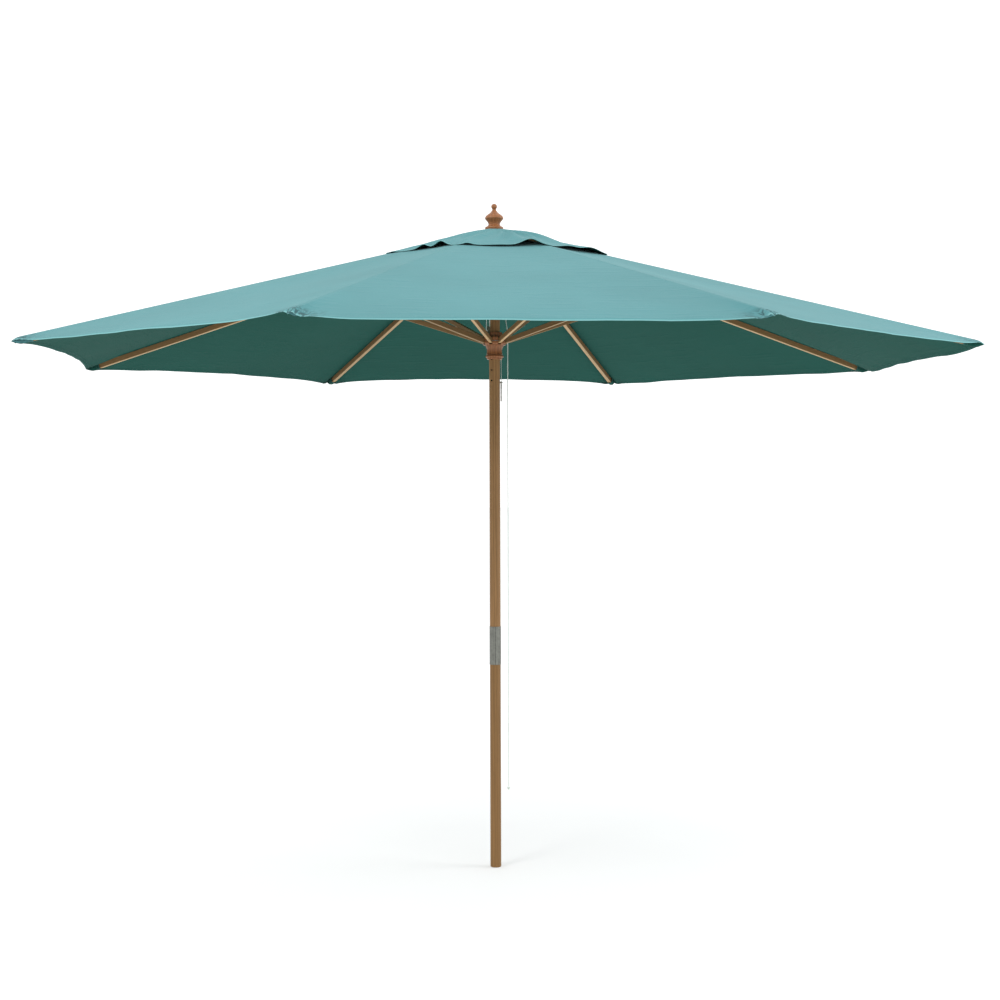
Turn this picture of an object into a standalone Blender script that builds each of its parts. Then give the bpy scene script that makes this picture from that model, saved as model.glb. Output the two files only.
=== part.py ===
"""Wooden garden parasol with a pulley: a two-piece pole, eight hinged ribs and struts, a turned runner,
an eight-sided canopy with scalloped edges, a vent cap and a turned finial.

Metres, +Z up. The origin is the centre of the pole's foot. A rib's azimuth is counted from -Y towards +X,
and flat sides of the canopy face -Y and +Y. The parasol is modelled open.
"""

import math

import bmesh
import bpy
from mathutils import Matrix, Vector

# Poles
POLE_R = 0.02025
POLE_SPLIT_Z = 0.826
UPPER_POLE_TOP_Z = 2.3712
GAP = 0.0003
FERRULE_Z = (0.756, 0.898)
FERRULE_R = 0.0215
FERRULE_BORE_R = POLE_R + GAP
PIN_HOLE_R = 0.0032
PIN_HOLE_TOP_Z = 1.8905
PIN_HOLE_PITCH = 0.039
PIN_HOLE_COUNT = 3
PIN_HOLE_AZIMUTH = -35.8

# Folding linkage: rib pivot A on the hub, strut pivot B under the rib, strut pivot C on the runner
RIB_COUNT = 8
RIB_STEP = 360 / RIB_COUNT
FIRST_RIB_AZIMUTH = RIB_STEP / 2
HUB_PIVOT_Z = 2.349
PIVOT_R = 0.042
RIB_SLOPE = 14.95
RIB_LENGTH = 1.732
STRUT_S = 0.640
STRUT_DROP = 0.031
STRUT_LENGTH = math.hypot(STRUT_S, STRUT_DROP)
STRUT_SLOPE = RIB_SLOPE + math.degrees(math.atan2(STRUT_DROP, STRUT_S))
RUNNER_PIVOT_Z = HUB_PIVOT_Z - 2 * STRUT_LENGTH * math.sin(math.radians(STRUT_SLOPE))

# Wooden bars
RIB_WIDTH = 0.0155
RIB_HEIGHT = 0.021
TONGUE_WIDTH = 0.012
STRUT_WIDTH = 0.012
STRUT_HEIGHT = 0.018
BAR_CHAMFER = 0.0012
RING_HOLE_R = 0.0025
HINGE_PIN_R = 0.002
HINGE_PLATE = 0.0018
HINGE_HALF_LENGTH = 0.024

# Hub and runner
RING_WIRE_R = 0.0015
RING_GROOVE = 0.0019
RING_GROOVE_R = 0.0398
SLOT_WIDTH = 0.0134
HUB_Z = (2.330, 2.364)
HUB_R = 0.050
HUB_CORE = 0.0285
RUNNER_BORE_R = 0.0215
RUNNER_CORE = 0.0305
RUNNER_EAR_R = 0.0455
EAR_TOP = 0.015
EAR_FLOOR = 0.0135

# Canopy
CANOPY_R = 1.750
CANOPY_OPENING = 0.240
CLOTH = 0.0012
CLOTH_LIFT = 0.0013
SCALLOP_DEPTH = 0.045
HEM_SAG = 0.010
CORNER_DROP = 0.009
VENT_R = 0.435
VENT_HOLE_R = 0.010
VENT_FLAT_R = 0.036
VENT_LIFT = 0.0008

# Pulleys and cords
CORD_R = 0.00175
TETHER_R = 0.0010
PULLEY_AZIMUTH = -45.0
RUNNER_PULLEY_R = 0.036
RUNNER_PULLEY_RISE = 0.045
RUNNER_WHEEL_R = 0.0095
RUNNER_GROOVE_R = 0.0070
RUNNER_WHEEL_WIDTH = 0.005
RUNNER_PULLEY_PIN_R = 0.0015
HUB_PULLEY_Z = 2.3105
HUB_WHEEL_R = 0.0155
HUB_GROOVE_R = 0.0125
HUB_WHEEL_WIDTH = 0.008
HUB_AXLE_R = 0.002
POLE_SLOT_WIDTH = 0.010
POLE_SLOT_Z = (2.225, 2.331)
ANCHOR_R = 0.040
ANCHOR_HOLE_R = 0.0024
ANCHOR_END_Z = 2.340
PULL_CORD_AZIMUTH = 90.0
PULL_CORD_R = 0.049
PULL_CORD_END_Z = 0.300
STEM_R = 0.0015
STEM_LENGTH = 0.009
STEM_HOLE_DEPTH = 0.0095
LOCK_PIN_AZIMUTH = 135.0
LOCK_PIN_R = 0.003
LOCK_PIN_Z = (1.736, 1.812)
TETHER_OFFSET = 0.038
TETHER_EYE_Z = 1.903
TETHER_EYE_R = 0.0040
TETHER_EYE_WIRE = 0.0008
TETHER_SHANK_R = 0.0009
TETHER_SHANK_LENGTH = 0.0080
TETHER_HOLE_R = 0.0012

# Turned profiles as (radius, height), downwards on the outer side. The finial's heights are counted from
# its bottom, the runner's from its struts' pivots.
FINIAL_BOTTOM_Z = 2.3730
FINIAL_BALL_R = 0.0110
FINIAL_BALL_RISE = 0.0860
FINIAL_BODY = [
    (0.0067, 0.0745),
    (0.0140, 0.0640),
    (0.0300, 0.0520),
    (0.0345, 0.0415),
    (0.0250, 0.0295),
    (0.0213, 0.0200),
    (0.0260, 0.0130),
    (0.0335, 0.0095),
    (0.0340, 0.0045),
    (0.0322, 0),
]
FINIAL_STUD_R = 0.003
FINIAL_STUD_Z = (2.3455, 2.3975)
RUNNER_COLLAR_R = 0.0295
RUNNER_COLLAR_TOP = 0.033
RUNNER_SHOULDER = [(RUNNER_EAR_R, -0.009), (0.0400, -EAR_FLOOR - 0.001), (0.0340, -0.0155)]
RUNNER_NECK = [
    (0.0335, -0.0185),
    (0.0295, -0.0270),
    (0.0280, -0.0375),
    (0.0290, -0.0455),
    (0.0305, -0.0485),
]
RUNNER_BEAD_R = 0.0050
RUNNER_BEAD = (0.0285, -0.0565)
RUNNER_GROOVE = [(0.0275, -0.0490), (0.0275, -0.0505)]
RUNNER_FOOT = [(0.0280, -0.0625), (0.0285, -0.0640), (0.0275, -0.0675)]

ROUND = 32
SMALL_ROUND = 16


# Scene and materials


def clear_scene():
    for old in list(bpy.data.objects):
        bpy.data.objects.remove(old)


def material(name, colour, roughness, metallic=0.0):
    made = bpy.data.materials.new(name)
    made.use_nodes = True
    shader = made.node_tree.nodes["Principled BSDF"]
    shader.inputs["Base Color"].default_value = (*colour, 1)
    shader.inputs["Roughness"].default_value = roughness
    shader.inputs["Metallic"].default_value = metallic
    return made


def add_object(name, mesh, look, matrix=None, parent=None):
    made = bpy.data.objects.new(name, mesh)
    bpy.context.scene.collection.objects.link(made)
    if not mesh.materials:
        mesh.materials.append(look)
    made.parent = parent
    made.matrix_world = matrix or Matrix.Identity(4)
    return made


def add_empty(name, matrix, parent=None):
    made = bpy.data.objects.new(name, None)
    bpy.context.scene.collection.objects.link(made)
    made.parent = parent
    made.matrix_world = matrix
    bpy.context.view_layer.update()
    return made


def smooth(mesh, angle=35):
    mesh.shade_smooth()
    mesh.set_sharp_from_angle(angle=math.radians(angle))


def mesh_from(bm, name):
    bmesh.ops.recalc_face_normals(bm, faces=bm.faces)
    mesh = bpy.data.meshes.new(name)
    bm.to_mesh(mesh)
    bm.free()
    return mesh


def frozen(made):
    """The mesh that an object's modifiers give, so that its copies can share it. The object is removed."""
    bpy.context.view_layer.update()
    graph = bpy.context.evaluated_depsgraph_get()
    mesh = bpy.data.meshes.new_from_object(made.evaluated_get(graph))
    cutters = [m.object for m in made.modifiers if m.type == "BOOLEAN"]
    for used in [made, *cutters]:
        bpy.data.objects.remove(used)
    smooth(mesh)
    return mesh


# Places


def outward(azimuth):
    angle = math.radians(azimuth)
    return Vector((math.sin(angle), -math.cos(angle), 0))


def at(azimuth, radius, z):
    return outward(azimuth) * radius + Vector((0, 0, z))


def radial_frame(azimuth, radius, z):
    """Local X points outwards at that azimuth, local Y along the circle, local Z up."""
    return Matrix.Translation(at(azimuth, radius, z)) @ Matrix.Rotation(math.radians(azimuth - 90), 4, "Z")


def rib_frame(azimuth):
    """Origin on the hub pivot, local X along the rib towards its tip, local Z on its top side."""
    return radial_frame(azimuth, PIVOT_R, HUB_PIVOT_Z) @ Matrix.Rotation(math.radians(RIB_SLOPE), 4, "Y")


def strut_frame(azimuth):
    """Origin on the pivot under the rib, local X along the strut towards the runner."""
    pivot = rib_frame(azimuth) @ Vector((STRUT_S, 0, -STRUT_DROP))
    turn = Matrix.Rotation(math.radians(azimuth + 90), 4, "Z")
    return Matrix.Translation(pivot) @ turn @ Matrix.Rotation(math.radians(STRUT_SLOPE), 4, "Y")


# Shapes


def curve_through(points, steps):
    """A smooth curve through the points, with that many steps between each two."""
    padded = [2 * points[0] - points[1], *points, 2 * points[-1] - points[-2]]
    found = []
    for a, b, c, d in zip(padded, padded[1:], padded[2:], padded[3:]):
        for i in range(steps):
            t = i / steps
            square = 2 * a - 5 * b + 4 * c - d
            cube = 3 * b - a - 3 * c + d
            found.append(0.5 * (2 * b + (c - a) * t + square * t**2 + cube * t**3))
    return [*found, points[-1]]


def arc(centre, radius, start, end, steps):
    """Points round a centre in a plane, angles in degrees."""
    angles = [math.radians(start + (end - start) * i / steps) for i in range(steps + 1)]
    return [(centre[0] + radius * math.cos(a), centre[1] + radius * math.sin(a)) for a in angles]


def turned(name, profile, look, matrix=None, parent=None, segments=ROUND, closed=False):
    """A profile of (radius, height) points turned about local Z. It runs down its outer side."""
    bm = bmesh.new()
    rim = [bm.verts.new((r, 0, z)) for r, z in profile]
    for a, b in zip(rim, rim[1:]):
        bm.edges.new((a, b))
    if closed:
        bm.edges.new((rim[-1], rim[0]))
    mesh = bpy.data.meshes.new(name)
    bm.to_mesh(mesh)
    bm.free()
    made = add_object(name, mesh, look, matrix, parent)
    screw = made.modifiers.new("Turn", "SCREW")
    screw.steps = screw.render_steps = segments
    screw.use_merge_vertices = True
    screw.merge_threshold = 0.00001
    screw.use_smooth_shade = True
    return made


def tube_profile(outer, inner, low, high, chamfer):
    return [
        (inner, high),
        (outer - chamfer, high),
        (outer, high - chamfer),
        (outer, low + chamfer),
        (outer - chamfer, low),
        (inner, low),
    ]


def rod_profile(radius, low, high, chamfer=0.0003):
    return [(0, high), (radius - chamfer, high), (radius, high - chamfer)] + [
        (radius, low + chamfer),
        (radius - chamfer, low),
        (0, low),
    ]


def cutter(name, bm, matrix):
    made = add_object(name, mesh_from(bm, name), None, matrix)
    made.data.materials.clear()
    made.hide_render = True
    made.display_type = "WIRE"
    return made


def round_cutter(name, radius, length, matrix, segments=SMALL_ROUND):
    """A cylinder along local Z, centred on the matrix's origin."""
    bm = bmesh.new()
    bmesh.ops.create_cone(
        bm, cap_ends=True, segments=segments, radius1=radius, radius2=radius, depth=length
    )
    return cutter(name, bm, matrix)


def add_box(bm, low, high, matrix=None):
    size = [b - a for a, b in zip(low, high)]
    middle = [(a + b) / 2 for a, b in zip(low, high)]
    place = Matrix.Translation(middle) @ Matrix.Diagonal((*size, 1))
    bmesh.ops.create_cube(bm, size=1, matrix=(matrix or Matrix.Identity(4)) @ place)


def box_cutter(name, low, high, matrix):
    bm = bmesh.new()
    add_box(bm, low, high)
    return cutter(name, bm, matrix)


def boolean(made, tool, operation="DIFFERENCE"):
    change = made.modifiers.new(tool.name, "BOOLEAN")
    change.operation = operation
    change.solver = "EXACT"
    change.object = tool


def prism(name, outline, half_width, look):
    """An outline of (x, z) points, thickened along local Y."""
    bm = bmesh.new()
    face = bm.faces.new([bm.verts.new((x, -half_width, z)) for x, z in outline])
    swept = bmesh.ops.extrude_face_region(bm, geom=[face])["geom"]
    moved = [v for v in swept if isinstance(v, bmesh.types.BMVert)]
    bmesh.ops.translate(bm, verts=moved, vec=(0, 2 * half_width, 0))
    return add_object(name, mesh_from(bm, name), look)


def lofted_bar(name, stations, look):
    """A bar along local X through chamfered rectangles given as (x, half width, half height)."""
    bm = bmesh.new()
    rims = []
    for x, half_width, half_height in stations:
        side, top = half_width - BAR_CHAMFER, half_height - BAR_CHAMFER
        corner = [(side, half_height), (half_width, top), (half_width, -top), (side, -half_height)]
        section = corner + [(-y, -z) for y, z in corner]
        rims.append([bm.verts.new((x, y, z)) for y, z in section])
    for a, b in zip(rims, rims[1:]):
        for i in range(len(a)):
            j = (i + 1) % len(a)
            bm.faces.new((a[i], a[j], b[j], b[i]))
    bm.faces.new(rims[0])
    bm.faces.new(rims[-1])
    return add_object(name, mesh_from(bm, name), look)


def round_end(x, half_width, radius, direction, clear=0.0045):
    """Stations of a half-round bar end about the pivot at x, with none across the pivot's hole.
    direction is -1 at the near end and 1 at the far one."""
    found = []
    for angle in (22, 45, 68):
        turn = math.radians(angle)
        found.append((x + direction * radius * math.cos(turn), half_width, radius * math.sin(turn)))
    found.append((x - direction * clear, half_width, radius))
    return found if direction < 0 else found[::-1]


def cord(name, points, radius, look, parent):
    """A tube of round section through the points, in world space."""
    data = bpy.data.curves.new(name, "CURVE")
    data.dimensions = "3D"
    data.bevel_depth = radius
    data.bevel_resolution = 2
    data.use_fill_caps = True
    spline = data.splines.new("POLY")
    spline.points.add(len(points) - 1)
    for place, point in zip(spline.points, points):
        place.co = (*point, 1)
    made = bpy.data.objects.new(name, data)
    bpy.context.scene.collection.objects.link(made)
    data.materials.append(look)
    made.parent = parent
    made.matrix_world = Matrix.Identity(4)
    return made


# Poles and what is fixed to them


def lower_pole(look):
    profile = [(0, POLE_SPLIT_Z), (POLE_R - 0.001, POLE_SPLIT_Z), (POLE_R, POLE_SPLIT_Z - 0.001)]
    profile += [(POLE_R, 0.002), (POLE_R - 0.002, 0), (0, 0)]
    return turned("lower_pole", profile, look)


def ferrule(look, screw_azimuth=-150.0, screw_z=0.790, shank_r=0.0013, shank_length=0.012):
    """The steel sleeve that joins the poles, and the screw that holds it to the lower one."""
    sleeve = turned(
        "pole_ferrule", tube_profile(FERRULE_R, FERRULE_BORE_R, *FERRULE_Z, 0.0003), look, closed=True
    )
    place = radial_frame(screw_azimuth, FERRULE_R + GAP, screw_z) @ Matrix.Rotation(math.pi / 2, 4, "Y")
    head = [(0, 0.0014), (0.0022, 0.0011), (0.003, 0.0004), (0.003, 0), (shank_r, 0)]
    shank = [(shank_r, 0.002 - shank_length), (0.0004, -shank_length), (0, -shank_length)]
    turned("ferrule_screw", head + shank, look, place, sleeve, SMALL_ROUND)
    hole = round_cutter("ferrule_screw_hole", shank_r + GAP, 2 * (shank_length + GAP), place)
    boolean(sleeve, hole)
    boolean(bpy.data.objects["lower_pole"], hole)
    return sleeve


def upper_pole(look, stud_hole_r=0.0033, stud_hole_z=2.345):
    low = POLE_SPLIT_Z + GAP
    profile = [(0, stud_hole_z), (stud_hole_r, stud_hole_z), (stud_hole_r, UPPER_POLE_TOP_Z)]
    profile += [(POLE_R - 0.001, UPPER_POLE_TOP_Z), (POLE_R, UPPER_POLE_TOP_Z - 0.001)]
    profile += [(POLE_R, low + 0.001), (POLE_R - 0.001, low), (0, low)]
    pole = turned("upper_pole", profile, look)
    for i in range(PIN_HOLE_COUNT):
        across = radial_frame(PIN_HOLE_AZIMUTH, 0, PIN_HOLE_TOP_Z - i * PIN_HOLE_PITCH)
        across @= Matrix.Rotation(math.pi / 2, 4, "Y")
        boolean(pole, round_cutter(f"pin_hole_{i + 1}", PIN_HOLE_R, 4 * POLE_R, across))
    slot_frame = radial_frame(PULLEY_AZIMUTH, 0, 0)
    low_corner = (-2 * POLE_R, -POLE_SLOT_WIDTH / 2, POLE_SLOT_Z[0])
    high_corner = (2 * POLE_R, POLE_SLOT_WIDTH / 2, POLE_SLOT_Z[1])
    boolean(pole, box_cutter("pole_slot", low_corner, high_corner, slot_frame))
    axle_frame = radial_frame(PULLEY_AZIMUTH, 0, HUB_PULLEY_Z) @ Matrix.Rotation(math.pi / 2, 4, "X")
    boolean(pole, round_cutter("axle_hole", HUB_AXLE_R + GAP, 4 * POLE_R, axle_frame))
    return pole


def finial(look, steel, parent):
    """The turned knob that clamps the vent cap, and the stud that holds it on the pole."""
    ball = arc((0, FINIAL_BOTTOM_Z + FINIAL_BALL_RISE), FINIAL_BALL_R, 90, -48, 7)
    body = [Vector((r, FINIAL_BOTTOM_Z + rise)) for r, rise in FINIAL_BODY]
    bore_r, bore_top = FINIAL_STUD_R + GAP, FINIAL_STUD_Z[1] + GAP
    profile = ball + [tuple(p) for p in curve_through(body, 2)]
    profile += [(bore_r, FINIAL_BOTTOM_Z), (bore_r, bore_top), (0, bore_top)]
    turned("finial", profile, look, parent=parent)
    stud = rod_profile(FINIAL_STUD_R, *FINIAL_STUD_Z)
    turned("finial_stud", stud, steel, parent=parent, segments=SMALL_ROUND)


def wire_ring(name, z, look, parent):
    section = arc((PIVOT_R, z), RING_WIRE_R, 90, -270, 6)[:-1]
    return turned(name, section, look, parent=parent, segments=48, closed=True)


def slot_cutter(name, core, low, high, length=0.04):
    """Eight radial slots, one at each rib."""
    bm = bmesh.new()
    for i in range(RIB_COUNT):
        place = radial_frame(FIRST_RIB_AZIMUTH + i * RIB_STEP, 0, 0)
        corner = (core + length, SLOT_WIDTH / 2, high)
        add_box(bm, (core, -SLOT_WIDTH / 2, low), corner, place)
    return cutter(name, bm, Matrix.Identity(4))


def groove(outer, z):
    """The profile points of the turned groove that the wire ring lies in."""
    return [
        (outer, z + RING_GROOVE),
        (RING_GROOVE_R, z + RING_GROOVE),
        (RING_GROOVE_R, z - RING_GROOVE),
        (outer, z - RING_GROOVE),
    ]


def hub(look, steel, parent):
    low, high = HUB_Z
    bore = POLE_R + GAP
    profile = [(bore, high), (HUB_R - 0.004, high), (HUB_R, high - 0.004), *groove(HUB_R, HUB_PIVOT_Z)]
    profile += [(HUB_R, low + 0.006), (HUB_R - 0.008, low), (bore, low)]
    made = turned("hub", profile, look, parent=parent, closed=True)
    boolean(made, slot_cutter("hub_slots", HUB_CORE, low - 0.01, high + 0.01))
    hole_depth = ANCHOR_END_Z + 0.003 - low
    hole = Matrix.Translation(at(PULLEY_AZIMUTH, ANCHOR_R, low))
    boolean(made, round_cutter("anchor_hole", ANCHOR_HOLE_R, 2 * hole_depth, hole))
    wire_ring("hub_ring", HUB_PIVOT_Z, steel, parent)


# Runner


def runner(look, steel, parent):
    """The turned block that slides on the pole and pushes the struts out."""
    top = RUNNER_COLLAR_TOP
    profile = [(RUNNER_BORE_R, top), (RUNNER_COLLAR_R - 0.0015, top), (RUNNER_COLLAR_R, top - 0.0015)]
    profile += [(RUNNER_COLLAR_R, EAR_TOP), (RUNNER_EAR_R - 0.002, EAR_TOP), (RUNNER_EAR_R, EAR_TOP - 0.002)]
    profile += groove(RUNNER_EAR_R, 0) + RUNNER_SHOULDER
    profile += [tuple(p) for p in curve_through([Vector(p) for p in RUNNER_NECK], 2)]
    profile += RUNNER_GROOVE + arc(RUNNER_BEAD, RUNNER_BEAD_R, 75, -75, 6) + RUNNER_FOOT
    profile.append((RUNNER_BORE_R, RUNNER_FOOT[-1][1]))
    place = Matrix.Translation((0, 0, RUNNER_PIVOT_Z))
    made = turned("runner", profile, look, place, parent, closed=True)
    slots = slot_cutter("runner_slots", RUNNER_CORE, RUNNER_PIVOT_Z - EAR_FLOOR, RUNNER_PIVOT_Z + 0.05)
    boolean(made, slots)
    stem_place = Matrix.Translation(at(PULLEY_AZIMUTH, RUNNER_PULLEY_R, RUNNER_PIVOT_Z + EAR_TOP))
    boolean(made, round_cutter("stem_hole", STEM_R + GAP, 2 * STEM_HOLE_DEPTH, stem_place))
    eye_place = radial_frame(LOCK_PIN_AZIMUTH, 0.0335, TETHER_EYE_Z) @ Matrix.Rotation(math.pi / 2, 4, "Y")
    boolean(made, round_cutter("eye_hole", TETHER_HOLE_R, 0.016, eye_place))
    wire_ring("runner_ring", RUNNER_PIVOT_Z, steel, parent)


def wheel(name, radius, groove_r, width, bore_r, look, matrix, parent, segments):
    """A grooved pulley wheel about local Z."""
    half, floor = width / 2, width * 0.40
    profile = [(bore_r, half), (radius - 0.0004, half), (radius, half - 0.0003), (groove_r, floor)]
    profile += [(groove_r, -floor), (radius, 0.0003 - half), (radius - 0.0004, -half), (bore_r, -half)]
    return turned(name, profile, look, matrix, parent, segments, closed=True)


def runner_pulley(steel, brass, parent):
    """A grooved wheel between two cheeks on a stem, screwed into one of the runner's ears."""
    centre_z = RUNNER_PIVOT_Z + RUNNER_PULLEY_RISE
    place = radial_frame(PULLEY_AZIMUTH, RUNNER_PULLEY_R, centre_z)
    base = GAP + RUNNER_PIVOT_Z + EAR_TOP - centre_z
    half, inner, outer = 0.005, RUNNER_WHEEL_WIDTH / 2 + 0.0004, 0.0042
    outline = [(-half, base), (half, base), *arc((0, 0), half, 0, 180, 8)]
    block = prism("cheeks", outline, outer, steel)
    low_corner = (-0.02, -inner, base + 0.0015)
    boolean(block, box_cutter("between_cheeks", low_corner, (0.02, inner, 0.02), Matrix.Identity(4)))
    across = Matrix.Rotation(math.pi / 2, 4, "X")
    boolean(block, round_cutter("pulley_pin_hole", RUNNER_PULLEY_PIN_R + GAP, 0.03, across))
    stem_place = Matrix.Translation((0, 0, base + 0.001 - STEM_LENGTH / 2))
    boolean(block, round_cutter("stem", STEM_R, STEM_LENGTH, stem_place), "UNION")
    add_object("runner_pulley_block", frozen(block), steel, place, parent)
    axis = place @ across
    pin = rod_profile(RUNNER_PULLEY_PIN_R, -outer - 0.0005, outer + 0.0005)
    turned("runner_pulley_pin", pin, brass, axis, parent, SMALL_ROUND)
    shape = (RUNNER_WHEEL_R, RUNNER_GROOVE_R, RUNNER_WHEEL_WIDTH, RUNNER_PULLEY_PIN_R + GAP)
    wheel("runner_pulley_wheel", *shape, brass, axis, parent, 24)


def hub_pulley(brass, parent):
    """The wheel in the slot at the top of the pole, on an axle across the pole."""
    axis = radial_frame(PULLEY_AZIMUTH, 0, HUB_PULLEY_Z) @ Matrix.Rotation(math.pi / 2, 4, "X")
    half = POLE_R - 0.0015
    turned("hub_pulley_axle", rod_profile(HUB_AXLE_R, -half, half), brass, axis, parent, SMALL_ROUND)
    shape = (HUB_WHEEL_R, HUB_GROOVE_R, HUB_WHEEL_WIDTH, HUB_AXLE_R + GAP)
    wheel("hub_pulley_wheel", *shape, brass, axis, parent, 28)


def lock_pin(steel, cord_look, parent):
    """The pin that holds the runner up, hanging on its tether from an eye on the runner."""
    low, high = LOCK_PIN_Z
    eye_place = radial_frame(LOCK_PIN_AZIMUTH, TETHER_OFFSET, TETHER_EYE_Z)
    section = arc((TETHER_EYE_R, 0), TETHER_EYE_WIRE, 90, -270, 6)[:-1]
    eye = turned("eye_loop", section, steel, Matrix.Rotation(math.pi / 2, 4, "X"), None, 20, True)
    middle = Matrix.Translation((-TETHER_EYE_R - TETHER_SHANK_LENGTH / 2, 0, 0))
    shank_place = middle @ Matrix.Rotation(math.pi / 2, 4, "Y")
    boolean(eye, round_cutter("eye_shank", TETHER_SHANK_R, TETHER_SHANK_LENGTH, shank_place), "UNION")
    add_object("tether_eye", frozen(eye), steel, eye_place, parent)
    swing = add_empty("lock_pin_swing", eye_place, parent)
    profile = [(0, high), (0.0045, high - 0.0012), (0.0055, high - 0.0045), (0.0045, high - 0.0078)]
    profile += [(LOCK_PIN_R, high - 0.0090), (LOCK_PIN_R, low + 0.004), (0.0012, low), (0, low)]
    place = Matrix.Translation(at(LOCK_PIN_AZIMUTH, TETHER_OFFSET, 0))
    turned("lock_pin", profile, steel, place, swing, 20)
    top = TETHER_EYE_Z - TETHER_EYE_R - TETHER_EYE_WIRE - TETHER_R - GAP
    points = [at(LOCK_PIN_AZIMUTH, TETHER_OFFSET, top + (high + GAP - top) * i / 16) for i in range(17)]
    cord("lock_pin_tether", points, TETHER_R, cord_look, swing)


# Ribs, struts and hinges


def rib_mesh(look):
    half = TONGUE_WIDTH / 2
    stations = round_end(0, half, RIB_HEIGHT / 2, -1)
    stations += [(0.045, half, RIB_HEIGHT / 2), (0.062, RIB_WIDTH / 2, RIB_HEIGHT / 2)]
    stations += [(RIB_LENGTH, RIB_WIDTH / 2, RIB_HEIGHT / 2)]
    bar = lofted_bar("rib_bar", stations, look)
    across = Matrix.Rotation(math.pi / 2, 4, "X")
    boolean(bar, round_cutter("rib_hole", RING_HOLE_R, 0.05, across))
    return frozen(bar)


def strut_mesh(look):
    half, radius = STRUT_WIDTH / 2, STRUT_HEIGHT / 2
    stations = round_end(0, half, radius, -1) + round_end(STRUT_LENGTH, half, radius, 1)
    bar = lofted_bar("strut_bar", stations, look)
    across = Matrix.Rotation(math.pi / 2, 4, "X")
    boolean(bar, round_cutter("strut_pin_hole", HINGE_PIN_R + GAP, 0.05, across))
    far = Matrix.Translation((STRUT_LENGTH, 0, 0)) @ across
    boolean(bar, round_cutter("strut_ring_hole", RING_HOLE_R, 0.05, far))
    return frozen(bar)


def hinge_mesh(look):
    """A folded steel strap under the rib: two lugs with a riveted pin for the strut. In the rib's frame."""
    top = -RIB_HEIGHT / 2 - GAP
    inner = STRUT_WIDTH / 2 + 0.0005
    lug_r = 0.006
    outline = [(STRUT_S - HINGE_HALF_LENGTH, top), (STRUT_S - HINGE_HALF_LENGTH, top - 0.004)]
    outline += arc((STRUT_S, -STRUT_DROP), lug_r, 210, 330, 6)
    outline += [(STRUT_S + HINGE_HALF_LENGTH, top - 0.004), (STRUT_S + HINGE_HALF_LENGTH, top)]
    strap = prism("strap", outline, inner + HINGE_PLATE, look)
    low = (STRUT_S - 0.05, -inner, -0.05)
    high = (STRUT_S + 0.05, inner, top - HINGE_PLATE)
    boolean(strap, box_cutter("between_lugs", low, high, Matrix.Identity(4)))
    across = Matrix.Translation((STRUT_S, 0, -STRUT_DROP)) @ Matrix.Rotation(math.pi / 2, 4, "X")
    pin_length = 2 * (inner + HINGE_PLATE + 0.0008)
    boolean(strap, round_cutter("rivet", HINGE_PIN_R, pin_length, across), "UNION")
    return frozen(strap)


# Canopy


def ridge_z(radius):
    """Height of the cloth's underside over the middle of a rib."""
    slope = math.radians(RIB_SLOPE)
    rib_top = HUB_PIVOT_Z - (radius - PIVOT_R) * math.tan(slope) + RIB_HEIGHT / 2 / math.cos(slope)
    return rib_top + CLOTH_LIFT


def panel_point(along, across, side):
    """Plan position of a point of the panel beside the rib at azimuth 0. along is its distance from the
    pole down the panel's middle, across its distance from that middle line towards the rib."""
    half_step = math.radians(RIB_STEP / 2) * side
    middle = Vector((math.sin(half_step), -math.cos(half_step), 0))
    to_rib = Vector((-math.cos(half_step), -math.sin(half_step), 0)) * side
    return middle * along + to_rib * across


def section_grid(row_shares, columns):
    """Underside points of one canopy section: from a panel's middle over its rib to the next middle."""
    half_step = math.radians(RIB_STEP / 2)
    chord = CANOPY_R * math.cos(half_step)
    half_chord = CANOPY_R * math.sin(half_step)
    rows = []
    for share in row_shares:
        row = []
        for column in range(-columns, columns + 1):
            side = 1 if column >= 0 else -1
            towards_rib = 1 - abs(column) / columns
            slack = 1 - towards_rib**2
            outer = chord - SCALLOP_DEPTH * slack
            along = CANOPY_OPENING + (outer - CANOPY_OPENING) * share
            inner_across = CANOPY_OPENING * math.tan(half_step) * towards_rib
            across = max(inner_across + (half_chord * towards_rib - inner_across) * share, GAP / 2)
            point = panel_point(along, across, side)
            point.z = ridge_z(along / math.cos(half_step)) - HEM_SAG * slack * share**3
            if share == 1 and column == 0:
                point.z -= CORNER_DROP
            row.append(point)
        rows.append(row)
    return rows


def canopy_section_mesh(look):
    """A thin sheet in the frame of the rib at azimuth 0, so that its copies turn with their ribs."""
    rows = section_grid((0, 0.33, 0.66, 0.983, 1), 4)
    inverse = rib_frame(0).inverted()
    bm = bmesh.new()
    top = [[bm.verts.new(inverse @ (p + Vector((0, 0, CLOTH)))) for p in row] for row in rows]
    under = [[bm.verts.new(inverse @ p) for p in row] for row in rows]
    for sheet in (top, under):
        for a, b in zip(sheet, sheet[1:]):
            for i in range(len(a) - 1):
                bm.faces.new((a[i], a[i + 1], b[i + 1], b[i]))
    rims = [(top[0], under[0]), (top[-1], under[-1])]
    rims += [([row[i] for row in top], [row[i] for row in under]) for i in (0, -1)]
    for upper, lower in rims:
        for i in range(len(upper) - 1):
            bm.faces.new((upper[i], upper[i + 1], lower[i + 1], lower[i]))
    mesh = mesh_from(bm, "canopy_section")
    mesh.materials.append(look)
    return mesh


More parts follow.
